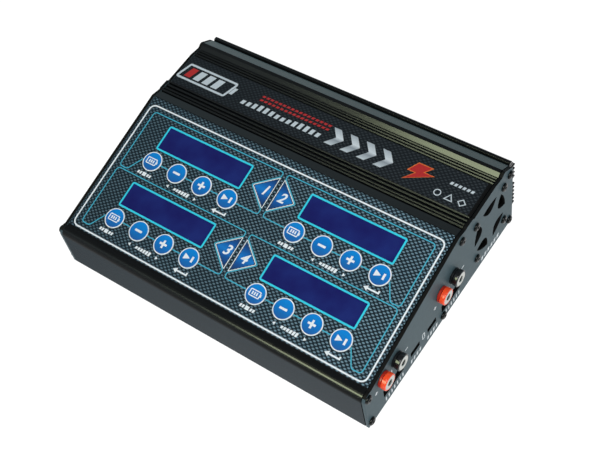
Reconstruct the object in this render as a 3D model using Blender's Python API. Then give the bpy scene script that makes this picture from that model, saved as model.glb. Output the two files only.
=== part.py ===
"""Four-channel balance battery charger in an extruded aluminium case.

The frame is in metres with +Z up.  Its origin is the middle of the footprint, on the surface that the
rubber feet stand on.  +X runs along the case to the end plate with the fan, and +Y runs to the finned
rear wall.  Sizes below are in millimetres: MM turns them into metres where a mesh is made.

Three local frames are used.  WORLD is the frame above.  ALONG_X draws a section in (Y, Z) and extrudes it
along X.  PANEL lies on the sloping control panel: u runs along the case, v runs up the slope and w stands
out of the panel, with w = 0 on the outer surface of the printed overlay.
"""

import math

import bmesh
import bpy
from mathutils import Matrix, Vector

MM = 0.001

# Driving dimensions
LENGTH = 223.5
DEPTH = 168.9
FOOT_HEIGHT = 3.0
WALL = 2.2
PLATE = 2.0
GAP = 0.3
FAN_SIZE = 40.0
FAN_HOLE_PITCH = 32.0
FAN_DEPTH = 10.0

# Section of the case.  Y is counted here from a line BEHIND_MIDDLE in front of the middle of the footprint,
# and every object is moved by that much when it is placed.
BEHIND_MIDDLE = 1.75
FRONT = BEHIND_MIDDLE - DEPTH / 2
FIN_TIP = BEHIND_MIDDLE + DEPTH / 2
FIN_REACH = 6.7
TOP_FIN_TIP = 83.8
REAR = FIN_TIP - FIN_REACH
BOTTOM = FOOT_HEIGHT
BASE_THICKNESS = 1.5
NOSE_RADIUS = 5.0
NOSE_TOP = 36.6
CEILING = 54.9
FIN_PITCH = 3.65
FIN_LOWEST = 11.7
FIN_COUNT = 12
FIN_GAP_INDEX = 6
FIN_ROOT_HALF = 0.8
FIN_TIP_HALF = 0.45

# Ends of the case
PLATE_OUTER = LENGTH / 2
PLATE_INNER = PLATE_OUTER - PLATE
CASE_END = PLATE_INNER - GAP

# Control panel
PANEL_SLOPE = math.atan(0.25)
PANEL_Y = -23.0
PANEL_Z = 49.4
OVERLAY = 0.5
RECESS = OVERLAY + GAP
PANEL_V = (-53.8, 42.6)
COLUMN_PITCH = 107.6
ROW_PITCH = 41.9
WINDOW = (65.3, 17.1)
GLASS = (64.3, 16.1)
KEY_DROP = 16.87
KEY_FIRST = -29.4
KEY_PITCH = 19.5
KEY_RADIUS = 6.6
KEY_STEM = 1.6
KEY_PROUD = 0.3
KEY_BOTTOM = -0.55
KEY_TIP = -3.6
KEY_TRAVEL = 0.4
KEY_HOLE = KEY_RADIUS + 0.4
KEY_SIDES = 16

# Title band
TITLE_FRONT = (34.5, 57.8)
TITLE_REAR = (59.0, 59.3)
TITLE_FILM = 0.3

# Screws: M3 button heads
SCREW_HEAD = 2.75
SCREW_HEAD_HEIGHT = 1.65
SCREW_SHANK = 1.35
SCREW_LENGTH = 8.0
SCREW_HOLE = SCREW_SHANK + GAP
SCREW_SIDES = 12
CASE_SCREWS = {
    "front_bottom": (-79.6, 7.6),
    "front_top": (-79.2, 32.9),
    "middle_bottom": (-2.9, 8.1),
    "middle_top": (20.6, 53.7),
    "rear_bottom": (74.9, 7.8),
    "rear_top": (75.5, 51.6),
}
BASE_SCREW = "middle_bottom"
BOSS_RADIUS = {
    "front_bottom": 2.9,
    "front_top": 2.9,
    "middle_top": 3.3,
    "rear_bottom": 2.9,
    "rear_top": 2.8,
}
BORE_DEPTH = 10.0

# Fan
FAN_Y = 52.3
FAN_Z = 32.0
FAN_OPENING = 18.7
LEAF_COUNT = 5
LEAF_CHORD = 16.2
LEAF_HALF = 7.6
LEAF_OUT = 1.3
LEAF_IN = 6.2

# Output sockets, 4 mm, and the ports under them, for each channel: odd ones are on the left end
SOCKET_Y = {1: (10.3, -3.5), 2: (10.3, -3.5), 3: (-22.0, -35.7), 4: (-51.0, -64.7)}
SOCKET_Z = 32.6
SOCKET_COLLAR = 5.2
SOCKET_PROUD = 5.0
SOCKET_BARREL = 4.0
SOCKET_TAIL = 2.9
SOCKET_BORE = 2.05
SOCKET_DEPTH = 12.0
SLOT_Y = {1: 6.5, 2: 6.5, 3: -28.9, 4: -55.5}
SLOT_Z = 15.2
SLOT = (20.6, 6.8)
PORT_Y = {1: (-32.8, -14.8), -1: (-66.0, -51.0)}
PORT_Z = 14.5
PORT = (9.2, 3.9)

# Inlets on the left end plate
AC_INLET = (57.5, 33.0)
AC_BODY = (27.0, 19.6)
AC_CAVITY = (24.6, 16.8)
DC_INLET = (28.5, 22.0)
DC_BODY = (19.0, 11.0)
DC_CAVITY = (15.6, 7.8)

# Inside
BOARD = 1.6
BOARD_Z = 9.0
BOARD_TOP = BOARD_Z + BOARD

WORLD = Matrix.Identity(4)
ALONG_X = Matrix(((0, 0, 1, 0), (1, 0, 0, 0), (0, 1, 0, 0), (0, 0, 0, 1)))
PANEL = Matrix.Translation((0, PANEL_Y * MM, PANEL_Z * MM)) @ Matrix.Rotation(PANEL_SLOPE, 4, "X")
CENTRED = Matrix.Translation((0, -BEHIND_MIDDLE * MM, 0))


# Outlines and lofts

def arc(centre, radius, start, end, steps):
    """Points on an arc from start to end, in degrees."""
    angles = [math.radians(start + (end - start) * i / steps) for i in range(steps + 1)]
    return [(centre[0] + radius * math.cos(a), centre[1] + radius * math.sin(a)) for a in angles]


def circle(centre, radius, sides):
    return arc(centre, radius, 0, 360, sides)[:-1]


def rectangle(centre, size):
    x, y = centre
    w, h = size[0] / 2, size[1] / 2
    return [(x - w, y - h), (x + w, y - h), (x + w, y + h), (x - w, y + h)]


def prism(outline, low, high):
    return [[(a, b, low) for a, b in outline], [(a, b, high) for a, b in outline]]


def box(low, high):
    """A prism between two corners."""
    middle = ((low[0] + high[0]) / 2, (low[1] + high[1]) / 2)
    return prism(rectangle(middle, (high[0] - low[0], high[1] - low[1])), low[2], high[2])


def turned(profile, sides, centre=(0, 0)):
    """Rings of a turned shape, from (radius, height) pairs."""
    return [[(a, b, height) for a, b in circle(centre, radius, sides)] for radius, height in profile]


def stepped(centre, steps):
    """Rectangular rings of a stepped block, from ((width, depth), height) pairs."""
    return [[(a, b, height) for a, b in rectangle(centre, size)] for size, height in steps]


def add_loft(bm, rings):
    loops = [[bm.verts.new(Vector(point) * MM) for point in ring] for ring in rings]
    count = len(loops[0])
    for low, high in zip(loops, loops[1:]):
        for i in range(count):
            j = (i + 1) % count
            bm.faces.new((low[i], low[j], high[j], high[i]))
    bm.faces.new(loops[0][::-1])
    bm.faces.new(loops[-1])


# Objects

def material(name, colour, roughness, metallic=0.0):
    made = bpy.data.materials.new(name)
    made.use_nodes = True
    shader = made.node_tree.nodes["Principled BSDF"]
    shader.inputs["Base Color"].default_value = (*colour, 1.0)
    shader.inputs["Roughness"].default_value = roughness
    shader.inputs["Metallic"].default_value = metallic
    return made


def make_mesh(name, lofts, finish=None):
    mesh = bpy.data.meshes.new(name)
    bm = bmesh.new()
    for rings in lofts:
        add_loft(bm, rings)
    bmesh.ops.recalc_face_normals(bm, faces=bm.faces)
    bm.to_mesh(mesh)
    bm.free()
    if finish:
        mesh.materials.append(finish)
    return mesh


def place(name, mesh, frame):
    placed = bpy.data.objects.new(name, mesh)
    placed.matrix_world = CENTRED @ frame
    bpy.context.collection.objects.link(placed)
    return placed


def make(name, lofts, finish, frame=WORLD):
    return place(name, make_mesh(name, lofts, finish), frame)


def boolean(target, operation, lofts, frame=WORLD):
    """Cut the lofts from target, or fuse them to it.  The tool stays as a hidden guide."""
    name = f"{target.name}_{operation.lower()}_{len(target.modifiers)}"
    tool = make(name, lofts, None, frame)
    tool.hide_render = True
    tool.display_type = "WIRE"
    modifier = target.modifiers.new(name, "BOOLEAN")
    modifier.operation = operation
    modifier.solver = "EXACT"
    modifier.object = tool


def smooth(mesh, degrees=35):
    mesh.shade_smooth()
    mesh.set_sharp_from_angle(angle=math.radians(degrees))


# Places

def panel_yz(v, w):
    """Section point at v up the panel's slope and w out of it."""
    c, s = math.cos(PANEL_SLOPE), math.sin(PANEL_SLOPE)
    return (PANEL_Y + v * c - w * s, PANEL_Z + v * s + w * c)


def channels():
    """Each channel's number and the middle of its display on the panel."""
    for number in range(1, 5):
        column, row = (number - 1) % 2, (number - 1) // 2
        yield number, (column - 0.5) * COLUMN_PITCH, (0.5 - row) * ROW_PITCH


def keys():
    """Each key's name and its middle on the panel."""
    for number, u, v in channels():
        for place_in_row, use in enumerate(("battery", "decrease", "increase", "start")):
            yield f"key_{number}_{use}", u + KEY_FIRST + place_in_row * KEY_PITCH, v - KEY_DROP


def fan_screw_places():
    half = FAN_HOLE_PITCH / 2
    return [(FAN_Y + a * half, FAN_Z + b * half) for a, b in ((-1, -1), (1, -1), (1, 1), (-1, 1))]


def mirrored(lofts):
    """The same lofts on the other end of the case, for shapes drawn in ALONG_X."""
    return [[[(a, b, -c) for a, b, c in ring] for ring in rings] for rings in lofts]


def at_end(side, lofts):
    """The lofts as drawn for side 1, the right end, and mirrored for side -1."""
    return lofts if side > 0 else mirrored(lofts)


def end_of(channel):
    return 1 if channel % 2 == 0 else -1


# Case

def rib(start, top):
    """Section of a rib on the case's top: a leaning front face, a narrow crest and an upright back."""
    foot = top - 1.8
    return [(start, foot), (start + 0.45, top - 0.65), (start + 1.0, top), (start + 1.4, top), (start + 1.65, foot)]


def case_outline():
    """Closed section of the case: over the outside from front to rear, then back along the inside."""
    outer = [(FRONT + 0.8, BOTTOM), (FRONT, BOTTOM + 0.8)]
    outer += arc((FRONT + NOSE_RADIUS, NOSE_TOP - NOSE_RADIUS), NOSE_RADIUS, 180, 90, 9)
    outer += [(-77.1, NOSE_TOP), (-76.5, 35.1)]
    outer += [panel_yz(PANEL_V[0] - GAP, -RECESS), panel_yz(PANEL_V[1] + GAP, -RECESS)]
    outer += [panel_yz(PANEL_V[1] + GAP, 0.0), (24.2, 58.8), (24.4, 57.5)]
    for start in (25.05, 27.0, 29.85, 32.5):
        outer += rib(start, 59.3)
    outer += [(TITLE_FRONT[0] - 0.3, 57.2), (TITLE_REAR[0] + 0.2, 58.7)]
    for start, top in ((59.4, 59.3), (61.45, 59.2), (63.4, 59.1)):
        outer += rib(start, top)
    outer += [(65.3, 57.2), (65.5, 57.7), (68.2, 60.0), (70.6, 60.0), (78.0, 55.6), (78.3, 54.3)]
    outer += [(79.3, 53.9), (80.2, 55.2), (82.0, 55.2), (82.7, 54.6), (82.2, 53.6), (REAR, 53.2)]
    for index in reversed(range(FIN_COUNT)):
        if index == FIN_GAP_INDEX:
            continue
        z = FIN_LOWEST + index * FIN_PITCH
        tip = TOP_FIN_TIP if index == FIN_COUNT - 1 else FIN_TIP
        outer += [(REAR, z + FIN_ROOT_HALF), (tip, z + FIN_TIP_HALF)]
        outer += [(tip, z - FIN_TIP_HALF), (REAR, z - FIN_ROOT_HALF)]
    outer += [(REAR, BOTTOM + 0.8), (REAR - 0.8, BOTTOM)]
    floor = -RECESS - WALL
    inner = [(REAR - WALL, BOTTOM), (REAR - WALL, 52.4), (REAR - 6.0, CEILING), (24.5, CEILING)]
    inner += [panel_yz(40.5, floor), panel_yz(-52.0, floor), (FRONT + WALL, 31.0), (FRONT + WALL, BOTTOM)]
    return outer + inner


def upper_case(finish):
    case = make("upper_case", [prism(case_outline(), -CASE_END, CASE_END)], finish, ALONG_X)
    boss_end = CASE_END - 0.4
    bosses = [prism(circle(CASE_SCREWS[key], radius, SCREW_SIDES), -boss_end, boss_end)
              for key, radius in BOSS_RADIUS.items()]
    boolean(case, "UNION", bosses, ALONG_X)
    bores = [prism(circle(CASE_SCREWS[key], SCREW_HOLE, 8), CASE_END - BORE_DEPTH, CASE_END + 1)
             for key in BOSS_RADIUS]
    boolean(case, "DIFFERENCE", bores + mirrored(bores), ALONG_X)
    pocket = KEY_BOTTOM - KEY_TRAVEL - 0.4
    pockets = [prism(circle((u, v), KEY_HOLE, KEY_SIDES), pocket, 1.0) for _, u, v in keys()]
    windows = [prism(rectangle((u, v), WINDOW), -8.0, 1.0) for _, u, v in channels()]
    boolean(case, "DIFFERENCE", pockets + windows, PANEL)
    stem_holes = [prism(circle((u, v), KEY_STEM + 0.4, 8), -8.0, 0.0) for _, u, v in keys()]
    boolean(case, "DIFFERENCE", stem_holes, PANEL)
    smooth(case.data)


def base_plate(finish):
    """Flat floor with an end block for the middle screw at each end, board pillars and cooling slots."""
    front, rear = FRONT + WALL + GAP, REAR - WALL - GAP
    floor = box((-CASE_END, front, BOTTOM), (CASE_END, rear, BOTTOM + BASE_THICKNESS))
    base = make("base_plate", [floor], finish)
    y, z = CASE_SCREWS[BASE_SCREW]
    low, high = BOTTOM + 1, z + 2.7
    block = [prism(rectangle((y, (low + high) / 2), (6.6, high - low)), 99.0, CASE_END - 0.2)]
    boolean(base, "UNION", block + mirrored(block), ALONG_X)
    pillar_top = BOARD_Z - GAP
    pillars = [prism(circle((x, y), 2.5, 8), BOTTOM + 1, pillar_top)
               for x in (-80.0, 0.0, 80.0) for y in (-68.0, -10.0, 30.0, 64.0)]
    boolean(base, "UNION", pillars)
    bore = [prism(circle(CASE_SCREWS[BASE_SCREW], SCREW_HOLE, 8), CASE_END - 9.0, CASE_END + 1)]
    boolean(base, "DIFFERENCE", bore + mirrored(bore), ALONG_X)
    slots = [prism(rectangle((x, y), (3.0, 22.0)), BOTTOM - 1, BOTTOM + 3)
             for x in range(-50, 51, 20) for y in (-40.0, 47.0)]
    boolean(base, "DIFFERENCE", slots)


def plate_outline():
    """The end plates follow the case's top line and stop short of its fins."""
    inset = 0.2
    outline = [(FRONT + inset, BOTTOM + 0.3)]
    outline += arc((FRONT + NOSE_RADIUS, NOSE_TOP - NOSE_RADIUS), NOSE_RADIUS - inset, 180, 90, 5)
    outline += [(-77.1, NOSE_TOP - inset), panel_yz(PANEL_V[0] - 1.0, -0.1), panel_yz(PANEL_V[1] + GAP, -0.1)]
    outline += [(25.4, 58.4), (27.0, 59.0), (33.4, 59.0), (34.6, 57.7), (59.0, 59.1), (66.6, 58.2)]
    outline += [(68.4, 59.4), (69.3, 59.8), (70.5, 59.8), (78.0, 55.3)]
    outline += [(REAR - 0.1, 53.6), (REAR - 0.1, BOTTOM + 0.3)]
    return outline


def leaf(index):
    """One cooling hole: a flat arc outside and a deep one towards the fan's hub."""
    steps = 6
    across = [LEAF_HALF * (2 * i / steps - 1) for i in range(steps + 1)]
    bow = [1 - (t / LEAF_HALF) ** 2 for t in across]
    points = [(t, LEAF_CHORD - LEAF_IN * b) for t, b in zip(across, bow)]
    points += [(t, LEAF_CHORD + LEAF_OUT * b) for t, b in zip(across, bow)][-2:0:-1]
    turn = Matrix.Rotation(math.radians(360 * index / LEAF_COUNT), 2)
    return [tuple(turn @ Vector(point) + Vector((FAN_Y, FAN_Z))) for point in points]


def end_plate(name, finish, side, own_holes):
    """A flat plate: side is 1 for the right end and -1 for the left one."""
    shape = [prism(plate_outline(), PLATE_INNER, PLATE_OUTER)]
    outlines = [circle(centre, SCREW_HOLE, 8) for centre in CASE_SCREWS.values()]
    for channel in SOCKET_Y:
        if end_of(channel) == side:
            outlines += [circle((y, SOCKET_Z), SOCKET_BARREL + GAP, KEY_SIDES) for y in SOCKET_Y[channel]]
            outlines.append(rectangle((SLOT_Y[channel], SLOT_Z), SLOT))
    outlines += [rectangle((y, PORT_Z), PORT) for y in PORT_Y[side]]
    holes = [prism(outline, PLATE_INNER - 1, PLATE_OUTER + 1) for outline in outlines + own_holes]
    plate = make(name, at_end(side, shape), finish, ALONG_X)
    boolean(plate, "DIFFERENCE", at_end(side, holes), ALONG_X)


def overlays(finish, title_finish):
    half = CASE_END - 0.2
    middle = (PANEL_V[0] + PANEL_V[1]) / 2
    sheet = prism(rectangle((0, middle), (2 * half, PANEL_V[1] - PANEL_V[0])), -OVERLAY, 0.0)
    overlay = make("control_overlay", [sheet], finish, PANEL)
    holes = [prism(circle((u, v), KEY_HOLE, KEY_SIDES), -2.0, 1.0) for _, u, v in keys()]
    holes += [prism(rectangle((u, v), WINDOW), -2.0, 1.0) for _, u, v in channels()]
    boolean(overlay, "DIFFERENCE", holes, PANEL)
    front, rear = Vector(TITLE_FRONT), Vector(TITLE_REAR)
    along = (rear - front).normalized()
    film = Vector((along.y, -along.x)) * TITLE_FILM
    corners = [front + along * GAP, rear - along * GAP]
    outline = [tuple(corners[0]), tuple(corners[0] + film), tuple(corners[1] + film), tuple(corners[1])]
    make("title_overlay", [prism(outline, -half, half)], title_finish, ALONG_X)


def key_caps(finish):
    """All keys share one mesh: a thin cap on a stem, with its origin on the joint's axis."""
    profile = [(KEY_STEM, KEY_TIP), (KEY_STEM, KEY_BOTTOM), (KEY_RADIUS, KEY_BOTTOM), (KEY_RADIUS, 0.1),
               (KEY_RADIUS - 0.5, KEY_PROUD)]
    mesh = make_mesh("key", [turned(profile, KEY_SIDES)], finish)
    smooth(mesh)
    for name, u, v in keys():
        place(name, mesh, PANEL @ Matrix.Translation((u * MM, v * MM, 0)))


# Inside the panel

def displays(finish):
    """Display modules: board, metal bezel, and glass that rises into the window."""
    steps = [((80.0, 26.4), -7.4), ((80.0, 26.4), -5.8), ((70.0, 20.0), -5.8), ((70.0, 20.0), -3.4),
             (GLASS, -3.4), (GLASS, -0.9)]
    mesh = make_mesh("display", [stepped((0, 0), steps)], finish)
    for number, u, v in channels():
        place(f"display_{number}", mesh, PANEL @ Matrix.Translation((u * MM, v * MM, 0)))


def panel_board(finish):
    """The board under the panel, with a push switch below each key's stem."""
    top = -8.0
    board = make("panel_board", [box((-94.2, -50.0, top - BOARD), (94.2, 36.0, top))], finish, PANEL)
    plunger = KEY_TIP - KEY_TRAVEL - GAP
    steps = [((6.0, 6.0), top - 0.5), ((6.0, 6.0), plunger - 0.5)]
    steps += [((3.2, 3.2), plunger - 0.5), ((3.2, 3.2), plunger)]
    boolean(board, "UNION", [stepped((u, v), steps) for _, u, v in keys()], PANEL)


# Inside the case

def charger_board(finish):
    """The board with the four charging circuits, and the small port housings on its ends."""
    board = make("charger_board", [box((-97.0, -76.0, BOARD_Z), (97.0, 17.5, BOARD_TOP))], finish)
    low = BOARD_TOP - 0.5
    coils = [turned([(9.0, low), (9.0, low + 10.0), (4.0, low + 10.0), (4.0, low + 4.0)], 12, (x, y))
             for x in (-45.0, 45.0) for y in (-52.0, -18.0)]
    cans = [turned([(4.0, low), (4.0, low + 12.0)], 10, (x, y))
            for x in (-72.0, -20.0, 20.0, 72.0) for y in (-60.0, 2.0)]
    chips = [box((-7.0, -35.0, low), (7.0, -21.0, low + 2.0))]
    boolean(board, "UNION", coils + cans + chips)
    low_z, high_z = PORT_Z - PORT[1] / 2 - 0.8, PORT_Z + PORT[1] / 2 + 0.8
    leg_top = low_z + 1.0
    for side, places in PORT_Y.items():
        ports = [prism(rectangle((y, (low_z + high_z) / 2), (PORT[0] + 1.6, high_z - low_z)), 90.0, CASE_END)
                 for y in places]
        legs = [prism(rectangle((y, (low + leg_top) / 2), (6.0, leg_top - low)), 91.0, 95.0) for y in places]
        cavities = [prism(rectangle((y, PORT_Z), PORT), 103.0, CASE_END + 1) for y in places]
        boolean(board, "UNION", at_end(side, ports), ALONG_X)
        boolean(board, "UNION", at_end(side, legs), ALONG_X)
        boolean(board, "DIFFERENCE", at_end(side, cavities), ALONG_X)


def supply_board(finish):
    """The mains supply: input filter, reservoir capacitors and heat spreaders on one board."""
    board = make("supply_board", [box((-84.0, 24.0, BOARD_Z), (94.0, 70.0, BOARD_TOP))], finish)
    low = BOARD_TOP - 0.5
    parts = [turned([(9.0, low), (9.0, low + 30.0)], 12, (x, 40.0)) for x in (-28.0, -6.0)]
    parts += [box((-72.0, 40.0, low), (-52.0, 58.0, low + 18.0))]
    parts += [box((12.0, 65.0, low), (82.0, 67.5, low + 26.0))]
    parts += [box((-40.0, 62.0, low), (2.0, 64.5, low + 26.0))]
    boolean(board, "UNION", parts)


def transformer(finish):
    low = BOARD_TOP + GAP
    core = make("transformer", [box((33.0, 30.0, low), (67.0, 46.0, low + 27.0))], finish)
    boolean(core, "UNION", [box((38.0, 24.5, low + 3.5), (62.0, 51.5, low + 23.0))])


def fan(frame_finish, rotor_finish):
    outer = CASE_END
    inner = outer - FAN_DEPTH
    centre = (FAN_Y, FAN_Z)
    square = prism(rectangle(centre, (FAN_SIZE, FAN_SIZE)), inner, outer)
    frame = make("fan_frame", [square], frame_finish, ALONG_X)
    holes = [prism(circle(centre, FAN_OPENING, 24), inner - 1, outer + 1)]
    holes += [prism(circle(place_yz, SCREW_HOLE, 8), inner - 1, outer + 1) for place_yz in fan_screw_places()]
    boolean(frame, "DIFFERENCE", holes, ALONG_X)
    for strut in ((2 * FAN_OPENING + 1, 2.4), (2.4, 2 * FAN_OPENING + 1)):
        boolean(frame, "UNION", [prism(rectangle(centre, strut), inner + 0.2, inner + 1.8)], ALONG_X)
    boolean(frame, "UNION", [prism(circle(centre, 9.0, KEY_SIDES), inner + 0.1, inner + 2.0)], ALONG_X)
    axis = Matrix.Translation((0, FAN_Y * MM, FAN_Z * MM)) @ ALONG_X
    hub = turned([(9.0, inner + 2.4), (9.0, outer - 1.2), (8.2, outer - 0.6)], KEY_SIDES)
    rotor = make("fan_rotor", [hub], rotor_finish, axis)
    boolean(rotor, "UNION", [blade(i, 7, (inner + outer) / 2 + 0.6) for i in range(7)], axis)


def blade(index, count, middle):
    """A flat blade pitched about its own radius."""
    pitch = math.radians(38)
    chord, thick = 7.0, 0.9
    turn = Matrix.Rotation(2 * math.pi * index / count, 3, "Z")
    section = []
    for along, across in ((-1, -1), (1, -1), (1, 1), (-1, 1)):
        a, b = along * chord / 2, across * thick / 2
        section.append((a * math.cos(pitch) - b * math.sin(pitch), a * math.sin(pitch) + b * math.cos(pitch)))
    rings = []
    for radius in (8.0, 17.3):
        rings.append([tuple(turn @ Vector((radius, a, middle + b))) for a, b in section])
    return rings


# On the end plates

def output_sockets(positive, negative):
    """4 mm sockets: a collar outside, a barrel through the plate and a blind bore."""
    face = PLATE_OUTER + SOCKET_PROUD
    back = PLATE_OUTER - SOCKET_DEPTH - 1.0
    seat = PLATE_OUTER + GAP
    profile = [(SOCKET_TAIL, back), (SOCKET_TAIL, PLATE_INNER), (SOCKET_BARREL, PLATE_INNER),
               (SOCKET_BARREL, seat), (SOCKET_COLLAR, seat), (SOCKET_COLLAR, face - 0.8),
               (SOCKET_COLLAR - 0.6, face), (SOCKET_BORE, face), (SOCKET_BORE, back + 1.0)]
    for channel, pair in SOCKET_Y.items():
        for sign, finish, y in zip(("negative", "positive"), (negative, positive), pair):
            shape = at_end(end_of(channel), [turned(profile, 14, (y, SOCKET_Z))])
            socket = make(f"output_{channel}_{sign}", shape, finish, ALONG_X)
            smooth(socket.data)


def balance_sockets(finish):
    """Right-angle balance headers behind the wide slots of the end plates."""
    outer = (SLOT[0] + 1.8, 8.0)
    cavity = (SLOT[0] - 0.6, 6.2)
    for channel, y in SLOT_Y.items():
        steps = [(outer, 96.0), (outer, CASE_END), (cavity, CASE_END), (cavity, CASE_END - 7.0)]
        shape = at_end(end_of(channel), [stepped((y, SLOT_Z), steps)])
        make(f"balance_socket_{channel}", shape, finish, ALONG_X)


def inlets(finish):
    """The mains inlet with three blades and the low-voltage inlet with two pins, on the left end."""
    flange = PLATE_OUTER + GAP
    y, z = AC_INLET
    steps = [(AC_BODY, 88.0), (AC_BODY, flange), ((31.0, 23.6), flange), ((31.0, 23.6), flange + 2.4),
             (AC_CAVITY, flange + 2.4), (AC_CAVITY, 98.0)]
    inlet = make("ac_inlet", mirrored([stepped(AC_INLET, steps)]), finish, ALONG_X)
    blades = [prism(rectangle((y + a, z + b), (2.0, 4.0)), 97.0, 110.0)
              for a, b in ((-7.0, -1.6), (7.0, -1.6), (0.0, 2.2))]
    boolean(inlet, "UNION", mirrored(blades), ALONG_X)
    y, z = DC_INLET
    steps = [(DC_BODY, 98.0), (DC_BODY, flange), ((22.0, 14.0), flange), ((22.0, 14.0), flange + 2.0),
             (DC_CAVITY, flange + 2.0), (DC_CAVITY, 104.0)]
    inlet = make("dc_inlet", mirrored([stepped(DC_INLET, steps)]), finish, ALONG_X)
    pins = [prism(circle((y + a, z), 1.8, 8), 103.0, 110.5) for a in (-3.6, 3.6)]
    boolean(inlet, "UNION", mirrored(pins), ALONG_X)


def screws(finish):
    """Button-head screws with a hexagonal recess, all from one mesh."""
    profile = [(SCREW_SHANK, -SCREW_LENGTH), (SCREW_SHANK, 0.0), (SCREW_HEAD, 0.0), (SCREW_HEAD - 0.2, 0.8),
               (1.9, SCREW_HEAD_HEIGHT), (1.1, SCREW_HEAD_HEIGHT), (1.1, 0.8)]
    mesh = make_mesh("screw", [turned(profile, SCREW_SIDES)], finish)
    smooth(mesh)
    places = {f"case_screw_{key}": centre for key, centre in CASE_SCREWS.items()}
    places.update({f"fan_screw_{i + 1}": centre for i, centre in enumerate(fan_screw_places())})
    seat = (PLATE_OUTER + 0.15) * MM
    for name, (y, z) in places.items():
        place(name, mesh, Matrix.Translation((seat, y * MM, z * MM)) @ ALONG_X)


def feet(finish):
    top = FOOT_HEIGHT - GAP
    profile = [(6.0, 0.0), (6.5, 0.5), (6.5, top)]
    mesh = make_mesh("foot", [turned(profile, KEY_SIDES)], finish)
    smooth(mesh)
    for end, x in (("left", -95.0), ("right", 95.0)):
        for row, y in (("front", -68.0), ("rear", 64.0)):
            place(f"foot_{row}_{end}", mesh, Matrix.Translation((x * MM, y * MM, 0)))


def clear_scene():
    for existing in list(bpy.data.objects):
        bpy.data.objects.remove(existing)


def build():
    clear_scene()
    anodised = material("black_anodised", (0.012, 0.013, 0.014), 0.42, 0.6)
    painted = material("grey_painted_plate", (0.10, 0.13, 0.14), 0.45)
    film = material("printed_film", (0.035, 0.042, 0.048), 0.4)
    title_film = material("title_film", (0.025, 0.03, 0.036), 0.4)
    blue = material("blue_key", (0.01, 0.16, 0.55), 0.35)
    glass = material("display_module", (0.012, 0.02, 0.12), 0.15)
    board = material("circuit_board", (0.01, 0.07, 0.03), 0.5)
    black = material("black_plastic", (0.012, 0.012, 0.013), 0.45)
    red = material("red_plastic", (0.75, 0.045, 0.01), 0.35)
    copper = material("transformer_tape", (0.45, 0.33, 0.08), 0.5)
    steel = material("black_screw", (0.02, 0.02, 0.022), 0.35, 0.8)
    rubber = material("foot_rubber", (0.01, 0.01, 0.01), 0.8)

    upper_case(anodised)
    base_plate(anodised)
    fan_holes = [leaf(i) for i in range(LEAF_COUNT)]
    fan_holes += [circle(centre, SCREW_HOLE, 8) for centre in fan_screw_places()]
    inlet_holes = [rectangle(AC_INLET, (AC_BODY[0] + 2 * GAP, AC_BODY[1] + 2 * GAP)),
                   rectangle(DC_INLET, (DC_BODY[0] + 2 * GAP, DC_BODY[1] + 2 * GAP))]
    end_plate("right_end_plate", painted, 1, fan_holes)
    end_plate("left_end_plate", painted, -1, inlet_holes)
    overlays(film, title_film)
    key_caps(blue)
    displays(glass)
    panel_board(board)
    charger_board(board)
    supply_board(board)
    transformer(copper)
    fan(black, black)
    output_sockets(red, black)
    balance_sockets(black)
    inlets(black)
    screws(steel)
    feet(rubber)


build()
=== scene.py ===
"""The looks of a four-channel balance battery charger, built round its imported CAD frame.

Lengths are in millimetres, and MM turns them into the frame's metres.  Each piece is drawn in a local frame
of its own.  PANEL lies on the sloping control panel and TITLE on the band behind it: the first axis runs
along the case, the second up the slope and the third out of the surface.  end_frame(1) lies on the right end
plate and end_frame(-1) on the left one: the first axis runs along the plate, the second up and the third
outwards.
"""

import math

import bmesh
import bpy
from mathutils import Matrix, Vector


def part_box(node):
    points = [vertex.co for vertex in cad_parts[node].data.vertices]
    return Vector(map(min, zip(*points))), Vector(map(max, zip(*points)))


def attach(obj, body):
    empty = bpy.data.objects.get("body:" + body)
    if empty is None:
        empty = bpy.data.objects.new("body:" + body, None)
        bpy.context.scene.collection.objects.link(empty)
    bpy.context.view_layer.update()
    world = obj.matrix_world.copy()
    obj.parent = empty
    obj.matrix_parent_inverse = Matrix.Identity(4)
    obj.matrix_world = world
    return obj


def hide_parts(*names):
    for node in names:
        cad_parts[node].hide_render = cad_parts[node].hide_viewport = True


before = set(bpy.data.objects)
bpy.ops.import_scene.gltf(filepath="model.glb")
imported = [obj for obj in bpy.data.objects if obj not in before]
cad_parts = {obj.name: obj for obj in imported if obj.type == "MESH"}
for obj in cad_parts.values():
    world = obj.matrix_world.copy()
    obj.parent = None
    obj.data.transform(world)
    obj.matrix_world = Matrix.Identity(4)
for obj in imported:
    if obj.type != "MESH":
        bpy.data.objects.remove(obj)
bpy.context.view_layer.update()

MM = 0.001

# Control panel, as the CAD has it
PANEL_SLOPE = math.atan(0.25)
PANEL_V = (-53.8, 42.6)
COLUMN_PITCH = 107.6
ROW_PITCH = 41.9
KEY_USES = ("battery", "decrease", "increase", "start")
KEY_DROP = 16.87
KEY_FIRST = -29.4
KEY_PITCH = 19.5
KEY_RADIUS = 6.6
KEY_HOLE = 6.75
FILM = 0.5
WINDOW_HOLE = (65.1, 16.9)
WINDOW = (64.9, 16.7)
WINDOW_BORDER = (64.45, 16.25)
BADGE_DROP = 1.65

# Title band
TITLE_SLOPE = math.atan(1.5 / 24.5)

# Prints: how far ink stands above its surface, and how far it reaches into it
INK_TOP = 0.04
TITLE_INK_TOP = 0.03
INK_FOOT = -0.02

# End plates
PLATE_INSET = 0.2
NOSE_TOP = 36.6
NOSE_RADIUS = 5.0
EDGE_ROUND = 0.22
SOCKET_HOLE = 4.3
SCREW_HOLE = 1.7
SLOT = (20.6, 6.8)
SLOT_Z = 15.2
PORT = (9.2, 3.9)
PORT_Z = 14.5
PRINT_ROW_Z = 7.7

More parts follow.
